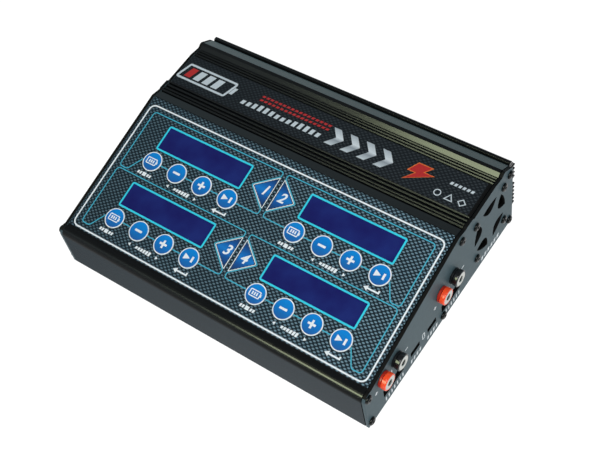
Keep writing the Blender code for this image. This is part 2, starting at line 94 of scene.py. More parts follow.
# Fan, and the leaf-shaped holes in front of it
FAN_SIZE = 40.0
FAN_SCREW_OFFSET = 16.0
LEAF_COUNT = 5
BLADE_COUNT = 7
BLADE_ROOT = 8.7
BLADE_TIP = 17.2

# Sides of a circle
ROUND = 48
SMALL_ROUND = 24

# The middles of the lamps, in metres
KEY_LIGHT_AT = (0.55, -0.6, 1.1)
GREEN_LAMP_AT = (-0.34, -1.67, 1.38)


def box_mm(node):
    """Lowest and highest corner of a CAD node, in millimetres."""
    low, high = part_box(node)
    return low / MM, high / MM


def middle(node):
    low, high = box_mm(node)
    return (low + high) / 2


def panel_frame():
    low, high = box_mm("control_overlay")
    y = low.y - PANEL_V[0] * math.cos(PANEL_SLOPE)
    z = high.z - PANEL_V[1] * math.sin(PANEL_SLOPE)
    return Matrix.Translation((0, y * MM, z * MM)) @ Matrix.Rotation(PANEL_SLOPE, 4, "X")


def title_frame():
    """Its origin is the middle of the band's rear edge."""
    high = box_mm("title_overlay")[1]
    return Matrix.Translation((0, high.y * MM, high.z * MM)) @ Matrix.Rotation(TITLE_SLOPE, 4, "X")


def end_frame(side):
    """On the outer face of an end plate.  Its first axis is +Y on the right plate and -Y on the left one."""
    x = box_mm("right_end_plate")[1].x * side
    return Matrix(((0, 0, side, x * MM), (side, 0, 0, 0), (0, 1, 0, 0), (0, 0, 0, 1)))


PANEL = panel_frame()
TITLE = title_frame()


def on_panel(a, b):
    return PANEL @ Matrix.Translation((a * MM, b * MM, 0))


def on_end(side, y, z):
    return end_frame(side) @ Matrix.Translation((side * y * MM, z * MM, 0))


# Outlines, as lists of (a, b)

def arc(centre, radius, start, end, steps):
    """Points on an arc between two angles in degrees."""
    angles = [math.radians(start + (end - start) * i / steps) for i in range(steps + 1)]
    return [(centre[0] + radius * math.cos(t), centre[1] + radius * math.sin(t)) for t in angles]


def circle(centre, radius, sides=ROUND):
    return arc(centre, radius, 0, 360, sides)[:-1]


def rectangle(centre, size, slant=0.0):
    """A rectangle, or with slant a parallelogram whose top is shifted by that much."""
    (a, b), (w, h) = centre, (size[0] / 2, size[1] / 2)
    s = slant / 2
    return [(a - w - s, b - h), (a + w - s, b - h), (a + w + s, b + h), (a - w + s, b + h)]


def fillet(points, radius, steps=5, closed=True):
    """The same outline with its corners rounded.  radius is one number or one for each corner."""
    count = len(points)
    radii = radius if isinstance(radius, (list, tuple)) else [radius] * count
    out = []
    for i, point in enumerate(points):
        ends = not closed and i in (0, count - 1)
        if ends or radii[i] <= 0:
            out.append(tuple(point))
            continue
        here = Vector(point)
        before = Vector(points[i - 1]) - here
        after = Vector(points[(i + 1) % count]) - here
        half = before.angle(after) / 2
        reach = min(radii[i] / math.tan(half), before.length * 0.49, after.length * 0.49)
        start = here + before.normalized() * reach
        end = here + after.normalized() * reach
        for k in range(steps + 1):
            t = k / steps
            blend = start * (1 - t) ** 2 + here * (2 * t * (1 - t)) + end * t ** 2
            out.append((blend.x, blend.y))
    return out


def rounded(centre, size, radius, steps=5):
    return fillet(rectangle(centre, size), radius, steps)


def mirrored(points, side):
    """The same points with the first number's sign turned when side is -1."""
    return [(side * a, b) for a, b in points]


def shifted(points, a, b):
    return [(x + a, y + b) for x, y in points]


# Solids

class Solid:
    """Collects closed shapes in one mesh.  Each shape names the material slot that it takes."""

    def __init__(self):
        self.bm = bmesh.new()

    def faces(self, loops, paint, loop_round):
        """Joins loops of corners with faces, and closes the two ends unless the last joins the first."""
        count = len(loops[0])
        made = []
        pairs = list(zip(loops, loops[1:]))
        if loop_round:
            pairs.append((loops[-1], loops[0]))
        for low, high in pairs:
            for i in range(count):
                j = (i + 1) % count
                made.append(self.bm.faces.new((low[i], low[j], high[j], high[i])))
        if not loop_round:
            made.append(self.bm.faces.new(loops[0][::-1]))
            made.append(self.bm.faces.new(loops[-1]))
        for face in made:
            face.material_index = paint

    def loft(self, rings, paint=0, loop_round=False):
        loops = [[self.bm.verts.new(Vector(point) * MM) for point in ring] for ring in rings]
        self.faces(loops, paint, loop_round)

    def prism(self, outline, low=INK_FOOT, high=INK_TOP, paint=0):
        self.loft([[(a, b, low) for a, b in outline], [(a, b, high) for a, b in outline]], paint)

    def turned(self, profile, paint=0, centre=(0, 0), sides=ROUND, loop_round=False):
        """Turns (radius, height) pairs about the third axis."""
        rings = [[(a, b, height) for a, b in circle(centre, radius, sides)] for radius, height in profile]
        self.loft(rings, paint, loop_round)

    def ribbon(self, path, width, low=INK_FOOT, high=INK_TOP, closed=True, paint=0):
        """A flat line of one width along a path."""
        points = [Vector(p) for p in path]
        count = len(points)
        sides = []
        for i, point in enumerate(points):
            before = points[i - 1] if closed or i else point
            after = points[(i + 1) % count] if closed or i < count - 1 else point
            into, out = point - before, after - point
            into = into if into.length > 1e-6 else out
            out = out if out.length > 1e-6 else into
            along = (into.normalized() + out.normalized()).normalized()
            stretch = max(0.5, along.dot(out.normalized()))
            sides.append(Vector((-along.y, along.x)) * (width / 2 / stretch))
        rings = []
        for point, side in zip(points, sides):
            left, right = point + side, point - side
            rings.append([(*left, low), (*right, low), (*right, high), (*left, high)])
        self.loft(rings, paint, closed)

    def take(self, mesh, paint, shift):
        """Adds a finished mesh, which is in metres.  The shift is in millimetres."""
        start = len(self.bm.verts)
        old_faces = len(self.bm.faces)
        self.bm.from_mesh(mesh)
        self.bm.verts.ensure_lookup_table()
        self.bm.faces.ensure_lookup_table()
        for vertex in self.bm.verts[start:]:
            vertex.co += Vector(shift) * MM
        for face in self.bm.faces[old_faces:]:
            face.material_index = paint
        bpy.data.meshes.remove(mesh)

    def plate(self, outline, holes, low, high, edge, rim=None):
        """A flat plate with holes, its edges rounded over by edge.  rim is the paint of its edges."""
        curve = bpy.data.curves.new("plate", "CURVE")
        curve.dimensions = "2D"
        curve.fill_mode = "BOTH"
        curve.extrude = ((high - low) / 2 - edge) * MM
        curve.bevel_depth = edge * MM
        curve.bevel_resolution = 2
        curve.offset = -edge * MM
        for loop in [outline, *holes]:
            spline = curve.splines.new("POLY")
            spline.points.add(len(loop) - 1)
            for point, (a, b) in zip(spline.points, loop):
                point.co = (a * MM, b * MM, 0, 1)
            spline.use_cyclic_u = True
        known = len(self.bm.faces)
        self.take(converted(curve), 0, (0, 0, (low + high) / 2))
        if rim is not None:
            self.bm.normal_update()
            self.bm.faces.ensure_lookup_table()
            for face in self.bm.faces[known:]:
                if abs(face.normal.z) < 0.95:
                    face.material_index = rim

    def digit(self, text, centre, height, low=INK_FOOT, high=INK_TOP, shear=0.25, bold=0.012, paint=0):
        """A number drawn with Blender's own font."""
        curve = bpy.data.curves.new("digit", "FONT")
        curve.body = text
        curve.align_x = "CENTER"
        curve.align_y = "CENTER"
        curve.size = height * 1.42 * MM
        curve.shear = shear
        curve.offset = bold * height * MM
        curve.resolution_u = 4
        curve.extrude = (high - low) / 2 * MM
        self.take(converted(curve), paint, (*centre, (low + high) / 2))

    def mesh(self, name, sharp):
        """The finished mesh.  Edges sharper than so many degrees stay crisp."""
        bmesh.ops.remove_doubles(self.bm, verts=self.bm.verts, dist=1e-7)
        bmesh.ops.recalc_face_normals(self.bm, faces=self.bm.faces)
        made = bpy.data.meshes.new(name)
        self.bm.to_mesh(made)
        self.bm.free()
        made.shade_smooth()
        made.set_sharp_from_angle(angle=math.radians(sharp))
        return made


def converted(curve):
    """A curve as a mesh.  The curve itself is removed."""
    holder = bpy.data.objects.new(curve.name, curve)
    mesh = bpy.data.meshes.new_from_object(holder)
    bpy.data.objects.remove(holder)
    bpy.data.curves.remove(curve)
    return mesh


def piece(name, solid, paints, place, body="case", stands_for=(), sharp=32):
    """Puts a solid, or a mesh that several pieces share, in the scene on its CAD body."""
    mesh = solid.mesh(name, sharp) if isinstance(solid, Solid) else solid
    if not mesh.materials:
        for paint in paints:
            mesh.materials.append(paint)
    made = bpy.data.objects.new(name, mesh)
    bpy.context.scene.collection.objects.link(made)
    made.matrix_world = place
    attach(made, body)
    if stands_for:
        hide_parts(*stands_for)


# Materials

class Paint:
    """Adds shader nodes to one material, a call at a time."""

    def __init__(self, name, **constants):
        self.material = bpy.data.materials.new(name)
        self.material.use_nodes = True
        self.tree = self.material.node_tree
        self.shader = self.tree.nodes["Principled BSDF"]
        for socket, value in constants.items():
            self.set(socket.replace("_", " "), value)

    def set(self, socket, value):
        self.put(self.shader.inputs[socket], value)

    def put(self, socket, value):
        if isinstance(value, bpy.types.NodeSocket):
            self.tree.links.new(value, socket)
        elif isinstance(value, tuple) and len(value) == 3 and len(socket.default_value) == 4:
            socket.default_value = (*value, 1.0)
        else:
            socket.default_value = value

    def add(self, kind, output=0, inputs=None, **settings):
        node = self.tree.nodes.new("ShaderNode" + kind)
        for key, value in settings.items():
            setattr(node, key, value)
        for key, value in (inputs or {}).items():
            self.put(node.inputs[key], value)
        return node.outputs[output]

    def math(self, operation, *values):
        return self.add("Math", inputs=dict(enumerate(values)), operation=operation)

    def mix(self, factor, first, second):
        return self.add("Mix", 2, {0: factor, 6: first, 7: second}, data_type="RGBA")

    def place(self, scale=(1, 1, 1)):
        """The piece's own coordinates in millimetres, stretched."""
        size = tuple(s / MM for s in scale)
        return self.add("Mapping", inputs={"Vector": self.add("TexCoord", "Object"), "Scale": size})

    def split(self, vector):
        node = self.tree.nodes.new("ShaderNodeSeparateXYZ")
        self.put(node.inputs[0], vector)
        return node.outputs

    def axes(self):
        """The three coordinates in millimetres."""
        return self.split(self.place())

    def facing(self):
        """The surface's direction in the piece's own frame."""
        return self.split(self.add("TexCoord", "Normal"))

    def noise(self, scale, detail=3.0, stretch=(1, 1, 1)):
        """Noise whose grains are about 1 / scale millimetres across."""
        vector = self.place(stretch)
        return self.add("TexNoise", "Fac", {"Vector": vector, "Scale": scale, "Detail": detail})

    def spread(self, value, low, high):
        """Maps the middle of a noise's range to low ... high."""
        return self.add("MapRange", inputs={0: value, 1: 0.3, 2: 0.7, 3: low, 4: high})

    def smooth(self, value, start, end):
        """0 below start and 1 above end, with a soft step between."""
        inputs = {0: value, 1: start, 2: end, 3: 0.0, 4: 1.0}
        return self.add("MapRange", inputs=inputs, interpolation_type="SMOOTHSTEP")

    def bump(self, height, strength, distance):
        """distance is in millimetres."""
        inputs = {"Strength": strength, "Distance": distance * MM, "Height": height}
        self.set("Normal", self.add("Bump", inputs=inputs))

    def mottled(self, colour, amount, scale):
        """Colour that varies a little over the surface."""
        dark = tuple(c * (1 - amount) for c in colour)
        light = tuple(min(1.0, c * (1 + amount)) for c in colour)
        return self.mix(self.spread(self.noise(scale), 0.0, 1.0), dark, light)


def anodised():
    """Black anodised extrusion with fine die lines along it.

    The front of its nose and the upright wall below reflect less than the rest, a painted shade; the wall
    reflects more towards the right end, a painted light, and it is lighter and bluer, also a painted light.
    """
    paint = Paint("black_anodised")
    lines = paint.noise(3.0, 4.0, (0.01, 1, 1))
    patches = paint.noise(0.05, 3.0)
    ahead = paint.facing()[1]
    # Painted shade: the upright front wall and the forward faces of the nose reflect less than the rest
    front = paint.smooth(ahead, -0.99, -0.9998)
    nose = paint.add("MapRange", inputs={0: paint.smooth(ahead, -0.72, -0.90), 3: 1.45, 4: 1.18})
    # Painted light: the upright wall reflects more towards the right end than the left
    wall_ior_painted_light = paint.add("MapRange", inputs={0: paint.axes()[0], 1: -110.0, 2: 110.0, 3: 1.052, 4: 1.105})
    paint.set("IOR", paint.add("MapRange", inputs={0: front, 3: nose, 4: wall_ior_painted_light}))
    colour = paint.mix(paint.spread(patches, 0, 1), (0.0018, 0.0024, 0.0026), (0.0032, 0.0040, 0.0042))
    # Painted light: the upright front wall is drawn lighter and bluer than the rest of the case
    colour = paint.mix(front, colour, (0.005, 0.018, 0.027))
    paint.set("Base Color", paint.mix(paint.spread(lines, 0, 0.4), colour, (0.005, 0.006, 0.007)))
    paint.set("Roughness", paint.spread(lines, 0.15, 0.21))
    paint.bump(lines, 0.08, 0.005)
    return paint.material


def plate_paint():
    """Satin blue-grey paint on the end plates."""
    paint = Paint("grey_plate", IOR=1.22)
    paint.set("Base Color", paint.mottled((0.055, 0.087, 0.100), 0.07, 0.35))
    peel = paint.noise(2.2, 3.0)
    paint.set("Roughness", paint.spread(peel, 0.46, 0.50))
    paint.bump(peel, 0.06, 0.02)
    return paint.material


def woven(name, dark, light, edge=None):
    """Printed film with a staggered weave of light dashes, in the local frame of its piece."""
    pitch, row = 3.32, 1.315
    paint = Paint(name, IOR=1.45, Specular_IOR_Level=0.2)
    x, y, _ = paint.axes()
    rows = paint.math("DIVIDE", y, row)
    index = paint.math("FLOOR", rows)
    odd = paint.math("MULTIPLY", paint.math("FLOORED_MODULO", index, 2.0), 0.5)
    across = paint.math("FRACT", paint.math("ADD", paint.math("DIVIDE", x, pitch), odd))
    a = paint.math("DIVIDE", paint.math("SUBTRACT", across, 0.5), 0.29)
    b = paint.math("DIVIDE", paint.math("SUBTRACT", paint.math("FRACT", rows), 0.5), 0.43)
    far = paint.math("ADD", paint.math("MULTIPLY", a, a), paint.math("MULTIPLY", b, b))
    dash = paint.math("SUBTRACT", 1.0, paint.smooth(far, 0.25, 1.35))
    lift = paint.spread(paint.noise(0.03, 2.0), 0.75, 1.0)
    # Painted light: the dashes are drawn half as bright at the left end as at the right one
    painted_light_ramp = paint.add("MapRange", inputs={0: x, 1: -110.0, 2: 110.0, 3: 0.50, 4: 1.04})
    shown = paint.math("MULTIPLY", paint.math("MULTIPLY", dash, lift), painted_light_ramp)
    if edge:
        shown = paint.math("MULTIPLY", shown, paint.math("LESS_THAN", x, edge))
        dark = paint.mix(paint.math("LESS_THAN", x, edge), (0.004, 0.004, 0.004), dark)
    paint.set("Base Color", paint.mix(shown, dark, light))
    paint.set("Roughness", paint.spread(paint.noise(1.5), 0.34, 0.44))
    paint.bump(dash, 0.08, 0.03)
    return paint.material


def ink(name, colour, roughness=0.42):
    paint = Paint(name, IOR=1.45)
    paint.set("Base Color", paint.mottled(colour, 0.06, 0.8))
    paint.set("Roughness", paint.spread(paint.noise(2.0), roughness - 0.05, roughness + 0.05))
    return paint.material


def graded_ink(name, low, high, stops):
    """Ink whose colour runs up the local second axis between two heights."""
    paint = Paint(name, Roughness=0.38, IOR=1.45, Specular_IOR_Level=0.2)
    _, y, _ = paint.axes()
    ramp = paint.tree.nodes.new("ShaderNodeValToRGB")
    paint.put(ramp.inputs[0], paint.add("MapRange", inputs={0: y, 1: low, 2: high, 3: 0.0, 4: 1.0}))
    while len(ramp.color_ramp.elements) < len(stops):
        ramp.color_ramp.elements.new(0.5)
    for element, (position, colour) in zip(ramp.color_ramp.elements, stops):
        element.position = position
        element.color = (*colour, 1.0)
    grain = paint.spread(paint.noise(1.2), 0.0, 0.12)
    paint.set("Base Color", paint.mix(grain, ramp.outputs[0], (0.02, 0.05, 0.12)))
    return paint.material


def display_glass():
    """Unlit blue display under a clear window."""
    paint = Paint("display_glass", Roughness=0.2, Specular_IOR_Level=0.25)
    cloud = paint.spread(paint.noise(0.06, 2.0), 0.0, 1.0)
    colour = paint.mix(cloud, (0.0095, 0.0105, 0.115), (0.0135, 0.026, 0.175))
    fine = paint.spread(paint.noise(1.6, 2.0), 0.0, 0.16)
    paint.set("Base Color", paint.mix(fine, colour, (0.004, 0.006, 0.05)))
    return paint.material


def moulded(name, colour, roughness, grain=0.15, level=0.5):
    """Injection-moulded plastic with a fine spark-eroded grain."""
    paint = Paint(name, IOR=1.47, Specular_IOR_Level=level)
    paint.set("Base Color", paint.mottled(colour, 0.08, 0.6))
    spark = paint.noise(6.0, 2.0)
    paint.set("Roughness", paint.spread(spark, roughness - 0.06, roughness + 0.06))
    paint.bump(spark, grain, 0.02)
    return paint.material


def metal(name, colour, roughness, stretch=(1, 1, 1)):
    paint = Paint(name, Metallic=1.0)
    paint.set("Base Color", paint.mottled(colour, 0.06, 1.0))
    scratch = paint.noise(5.0, 3.0, stretch)
    paint.set("Roughness", paint.spread(scratch, roughness - 0.07, roughness + 0.07))
    paint.bump(scratch, 0.06, 0.01)
    return paint.material


def circuit_board():
    """Green solder mask over a faint pattern of tracks."""
    paint = Paint("circuit_board", Roughness=0.4, IOR=1.5)
    cells = paint.add("TexVoronoi", "Distance", {"Vector": paint.place(), "Scale": 0.5},
                      feature="DISTANCE_TO_EDGE", distance="MANHATTAN")
    track = paint.math("LESS_THAN", cells, 0.06)
    paint.set("Base Color", paint.mix(track, (0.008, 0.075, 0.03), (0.03, 0.16, 0.06)))
    return paint.material


ANODISED = anodised()
PLATE_PAINT = plate_paint()
PANEL_FILM = woven("panel_film", (0.007, 0.015, 0.021), (0.19, 0.31, 0.38))
TITLE_FILM = woven("title_film", (0.009, 0.012, 0.015), (0.044, 0.053, 0.060), edge=107.4)
WHITE_INK = ink("white_ink", (0.86, 0.90, 0.91))
CYAN_INK = ink("cyan_ink", (0.035, 0.66, 0.83), 0.36)
TEAL_INK = ink("teal_ink", (0.05, 0.46, 0.62), 0.4)
PALE_INK = ink("pale_ink", (0.58, 0.62, 0.64))
SILVER_INK = ink("silver_ink", (0.60, 0.66, 0.69), 0.32)
RED_INK = ink("red_ink", (0.50, 0.022, 0.022), 0.4)
ORANGE_INK = ink("orange_ink", (0.78, 0.16, 0.03), 0.4)
# Painted light and shade: each key's blue runs from dark at its bottom to bright at its top
KEY_BLUE_SHADED = graded_ink("key_blue_painted_shade", -6.0, 6.0, [
    (0.0, (0.012, 0.115, 0.38)), (0.45, (0.003, 0.19, 0.58)), (1.0, (0.001, 0.28, 0.78))])
BADGE_BLUE = graded_ink("badge_blue", -10.5, 10.0, [
    (0.0, (0.012, 0.02, 0.05)), (0.30, (0.008, 0.10, 0.36)), (0.5, (0.008, 0.21, 0.62)),
    (0.72, (0.008, 0.10, 0.36)), (1.0, (0.012, 0.02, 0.05))])
METAL_GRADE = graded_ink("metal_grade", -19.0, -6.5, [
    (0.0, (0.62, 0.68, 0.70)), (0.35, (0.30, 0.34, 0.37)),
    (0.55, (0.72, 0.77, 0.79)), (1.0, (0.42, 0.47, 0.50))])
DISPLAY = display_glass()
BLACK = moulded("black_plastic", (0.012, 0.012, 0.013), 0.42)
RED = moulded("red_plastic", (0.98, 0.075, 0.016), 0.24, 0.05)
# Painted shade: the darker red of the red sockets' base ring, next to the plate
RED_RING_SHADE = moulded("red_plastic_painted_shade", (0.42, 0.018, 0.008), 0.35, 0.05)
GLOSS_BLACK = moulded("gloss_black_plastic", (0.008, 0.009, 0.010), 0.14, 0.04)
# Black plastic of the balance housings and the fan, made near black and barely reflecting: painted shade
# inside the slots and behind the fan's holes
BLACK_AND_RECESS_SHADE = moulded("black_plastic_and_painted_shade", (0.003, 0.003, 0.003), 0.7, level=0.1)
# Painted shade: the end plates' edges and the walls of their holes are near black and barely reflect
PLATE_EDGE_SHADE = moulded("plate_edge_painted_shade", (0.005, 0.005, 0.005), 0.6, level=0.1)
RUBBER = moulded("foot_rubber", (0.012, 0.012, 0.012), 0.8, 0.3)
NICKEL = metal("nickel", (0.50, 0.51, 0.48), 0.32)
GOLD = metal("gold_pins", (0.85, 0.62, 0.25), 0.22)
BLACK_STEEL = moulded("black_screw", (0.002, 0.003, 0.003), 0.14, 0.02, 0.22)
SHEET = metal("display_bezel", (0.25, 0.25, 0.26), 0.35, (1, 0.1, 1))
BOARD = circuit_board()
TAPE = ink("transformer_tape", (0.72, 0.50, 0.06), 0.35)


def channels():
    """Each channel's number, its side of the panel, and the middle of its display."""
    for number in range(1, 5):
        column, row = (number - 1) % 2, (number - 1) // 2
        yield number, 2 * column - 1, (column - 0.5) * COLUMN_PITCH, (0.5 - row) * ROW_PITCH


def key_places(u, v):
    return [(use, u + KEY_FIRST + i * KEY_PITCH, v - KEY_DROP) for i, use in enumerate(KEY_USES)]


# The case

def repaint(node, *paints):
    """Gives a CAD node its materials."""
    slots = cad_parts[node].data.materials
    slots.clear()
    for paint in paints:
        slots.append(paint)


def round_edges(node, width):
    """Rounds a CAD node's sharp edges with modifiers.  Its own mesh stays as it is."""
    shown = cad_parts[node]
    weld = shown.modifiers.new("weld", "WELD")
    weld.merge_threshold = 1e-6
    flat = shown.modifiers.new("flat", "DECIMATE")
    flat.decimate_type = "DISSOLVE"
    flat.angle_limit = math.radians(1)
    bevel = shown.modifiers.new("edges", "BEVEL")
    bevel.width = width * MM
    bevel.segments = 2
    bevel.limit_method = "ANGLE"
    bevel.angle_limit = math.radians(28)
    bevel.harden_normals = True


def case():
    repaint("upper_case", ANODISED)
    round_edges("upper_case", 0.16)
    repaint("base_plate", ANODISED)
    round_edges("base_plate", 0.2)
    repaint("title_overlay", TITLE_FILM)


def panel_film():
    half = box_mm("control_overlay")[1].x
    centre = (PANEL_V[0] + PANEL_V[1]) / 2
    outline = rounded((0, centre), (2 * half, PANEL_V[1] - PANEL_V[0]), 0.8)
    holes = [rounded((u, v), WINDOW_HOLE, 0.9) for _, _, u, v in channels()]
    holes += [circle((a, b), KEY_HOLE) for _, _, u, v in channels() for _, a, b in key_places(u, v)]
    film = Solid()
    film.plate(outline, holes, -FILM, 0.0, 0.05)
    stands_for = ["control_overlay"]
    piece("panel_film", film, [PANEL_FILM], PANEL, stands_for=stands_for, sharp=10)


def displays():
    for number, _, u, v in channels():
        window = Solid()
        window.plate(rounded((0, 0), WINDOW, 0.8), [], -0.8, -0.02, 0.06)
        at = on_panel(u, v)
        piece(f"display_window_{number}", window, [DISPLAY], at, sharp=10)
        border = Solid()
        border.ribbon(rounded((0, 0), WINDOW_BORDER, 1.0), 1.15)
        piece(f"display_border_{number}", border, [CYAN_INK], at)
        repaint(f"display_{number}", SHEET)


# Keys

def key_icon(cap, use):
    """The white pictogram on a key's cap."""
    low, high, white = 0.12, 0.34, 2
    if use == "battery":
        cap.ribbon(rounded((-0.4, 0), (6.8, 3.9), 0.6), 0.65, low, high, paint=white)
        cap.prism(rectangle((3.6, 0), (0.8, 1.7)), low, high, white)
        for a in (-1.9, -0.4, 1.1):
            cap.prism(rectangle((a, 0), (0.9, 2.0)), low, high, white)
    elif use == "decrease":
        cap.prism(rounded((0, 0), (5.2, 1.4), 0.3), low, high, white)
    elif use == "increase":
        reach, half = 2.6, 0.68
        quarter = [(half, reach), (half, half), (reach, half)]
        turns = [Matrix.Rotation(math.radians(-90 * turn), 2) for turn in range(4)]
        cap.prism([tuple(turn @ Vector(point)) for turn in turns for point in quarter], low, high, white)
    else:
        cap.prism(fillet([(-3.4, -2.0), (0.9, 0.0), (-3.4, 2.0)], 0.3), low, high, white)
        cap.prism(rectangle((2.6, 0), (1.4, 3.7)), low, high, white)


def key_mesh(use):
    """A cap on its stem: a white ring round a slightly domed blue disc."""
    cap = Solid()
    edge, top, rise = 5.93, 0.11, 0.19
    under = KEY_RADIUS - 0.05
    ring = [(edge, -0.3), (KEY_RADIUS - 0.02, -0.3), (KEY_RADIUS, 0.02), (KEY_RADIUS - 0.1, top), (edge, top)]
    cap.turned(ring, paint=1, loop_round=True)
    angles = [math.radians(angle) for angle in range(0, 85, 12)]
    dome = [(edge * math.cos(angle), top + rise * math.sin(angle)) for angle in angles]
    stem = [(1.6, -3.6), (1.6, -0.7), (under, -0.55), (under, -0.28), (edge, -0.28)]
    cap.turned(stem + dome)
    key_icon(cap, use)
    mesh = cap.mesh(f"key_{use}", 40)
    for paint in (KEY_BLUE_SHADED, WHITE_INK, WHITE_INK):
        mesh.materials.append(paint)
    return mesh


def keys():
    meshes = {use: key_mesh(use) for use in KEY_USES}
    for number, _, u, v in channels():
        for use, a, b in key_places(u, v):
            node = f"key_{number}_{use}"
            piece(f"{node}_cap", meshes[use], [], on_panel(a, b), node, [node])


# Prints on the panel

def panel_lines():
    """The white line round the panel and the thin line round each channel."""
    width = 0.62
    border = Solid()
    border.ribbon(rounded((-0.2, -7.55), (213.8, 90.1), 4.6, 8), 1.0)
    piece("panel_border", border, [WHITE_INK], PANEL)
    for number, side, u, v in channels():
        low = v - 0.5 * ROW_PITCH
        high, line = low + 33.6, low + 3.9
        inner, outer = 1.8, 102.3
        clear = KEY_HOLE + 0.1
        first, last = u + KEY_FIRST, u + KEY_FIRST + 3 * KEY_PITCH
        near_key, far_key = sorted((abs(first), abs(last)))
        route = [(far_key + clear, line - 0.6), (95.9, low - 6.9), (outer, low - 6.9), (outer, high),
                 (inner, high), (inner, low + 30.5), (15.9, low + 18.9), (inner, low + 7.3), (inner, line),
                 (near_key - clear, line)]
        radii = [0, 2.4, 2.4, 2.6, 2.0, 0.6, 0.9, 0.6, 2.2, 0]
        trace = Solid()
        trace.ribbon(mirrored(fillet(route, radii, closed=False), side), width, closed=False)
        for i in range(3):
            start = first + i * KEY_PITCH + clear
            trace.ribbon([(start, line), (start + KEY_PITCH - 2 * clear, line)], width, closed=False)
        piece(f"channel_line_{number}", trace, [TEAL_INK], PANEL)


def channel_numbers():
    """The pointed badge of each channel with its number."""
    for number, side, _, v in channels():
        badge = Solid()
        corners = mirrored([(1.65, 10.4), (1.65, -11.2), (14.9, -0.4)], side)
        badge.ribbon(fillet(corners, [0.3, 0.3, 1.0]), 0.42, paint=1)
        inner = mirrored([(2.3, 9.0), (2.3, -9.8), (13.8, -0.4)], side)
        badge.prism(fillet(inner, [0.1, 0.1, 0.6]), INK_FOOT, 0.03, 0)
        badge.digit(str(number), (side * 6.2, -0.5), 6.3, 0.0, 0.06, bold=0.03, paint=1)
        at = on_panel(0, v - BADGE_DROP)
        piece(f"channel_badge_{number}", badge, [BADGE_BLUE, WHITE_INK], at)


def key_marks():
    """Small marks below the keys: stop, a pair of arrows round a scale, and enter."""
    for number, _, u, v in channels():
        marks = Solid()
        b = v - KEY_DROP - 9.3
        first, last = u + KEY_FIRST, u + KEY_FIRST + 3 * KEY_PITCH
        marks.prism(rectangle((first, b), (2.6, 2.4)))
        for side in (-1, 1):
            for step in (2.7, 4.5):
                marks.prism(rectangle((first + side * step, b), (1.3, 1.9), 0.4))
            tip = shifted(mirrored([(1.0, 0), (-0.8, 1.1), (-0.8, -1.1)], side), u + side * 10.6, b)
            marks.prism(tip)
        for i in range(6):
            marks.prism(rectangle((u - 5.0 + 2 * i, b), (1.5, 1.6 + 0.2 * i), 0.4))
        marks.ribbon([(last + 4.6, b + 1.2), (last + 4.6, b - 0.4), (last - 2.6, b - 0.4)], 1.0, closed=False)
        marks.prism([(last - 5.2, b - 0.4), (last - 2.4, b + 1.3), (last - 2.4, b - 2.1)])
        piece(f"key_marks_{number}", marks, [WHITE_INK], PANEL)


# Prints on the title band

def title_prints():
    """Pictograms only: a battery, level bars, four chevrons, a bolt and small marks in the corner."""
    ink_span = (INK_FOOT, TITLE_INK_TOP)
    red = 1
    battery = Solid()
    height = -12.4
    battery.ribbon(fillet(rectangle((-88.5, height), (38.0, 11.6), 3.6), 1.2), 1.5, *ink_span)
    battery.prism(rectangle((-67.2, height), (2.4, 5.4), 1.7), *ink_span)
    for i, paint in enumerate((red, 0, 0, 0)):
        battery.prism(rectangle((-101.4 + 7.2 * i, height), (4.8, 7.6), 2.4), *ink_span, paint)
    piece("title_battery", battery, [SILVER_INK, RED_INK], TITLE)
    levels = Solid()
    for i in range(14):
        tall = 3.0 + 1.6 * (0.5 - 0.5 * math.cos(i * 0.9))
        levels.prism(rectangle((-56.5 + 4.35 * i, -17.9 + tall / 2), (2.6, tall), 0.8), *ink_span)
    for row in range(2):
        for i in range(17):
            levels.prism(rectangle((-46.5 + 3.1 * i, -7.0 - 3.0 * row), (2.0, 1.5), 0.6), *ink_span, red)
    piece("title_levels", levels, [SILVER_INK, RED_INK], TITLE)
    chevrons = Solid()
    chevron = [(-6.4, -19.0), (-1.0, -19.0), (4.2, -12.7), (-1.0, -6.5), (-6.4, -6.5), (-1.2, -12.7)]
    for i in range(4):
        chevrons.prism(shifted(chevron, 12.5 + 11.6 * i, 0), *ink_span)
    piece("title_chevrons", chevrons, [METAL_GRADE], TITLE)
    bolt = Solid()
    shape = [(0, 0), (9.5, 0), (6.0, -4.6), (12.5, -4.6), (-3.5, -13.6), (1.6, -7.0), (-3.6, -7.0)]
    shape = shifted(shape, 65.0, -5.6)
    bolt.prism(shape, *ink_span)
    bolt.ribbon(shape, 0.55, high=TITLE_INK_TOP + 0.005, paint=1)
    piece("title_bolt", bolt, [RED_INK, ORANGE_INK], TITLE)
    corner = Solid()
    triangle = [(90.0, -20.3), (94.8, -20.3), (92.4, -16.2)]
    diamond = [(98.0, -18.4), (100.4, -20.7), (102.8, -18.4), (100.4, -16.1)]
    for outline in (circle((84.6, -18.4), 2.0, SMALL_ROUND), triangle, diamond):
        corner.ribbon(outline, 0.6, *ink_span)
    for i in range(6):
        corner.prism(rectangle((88.9 + 2.7 * i, -9.2), (1.7, 1.9), 0.5), *ink_span)
    piece("title_corner_marks", corner, [SILVER_INK], TITLE)


# End plates

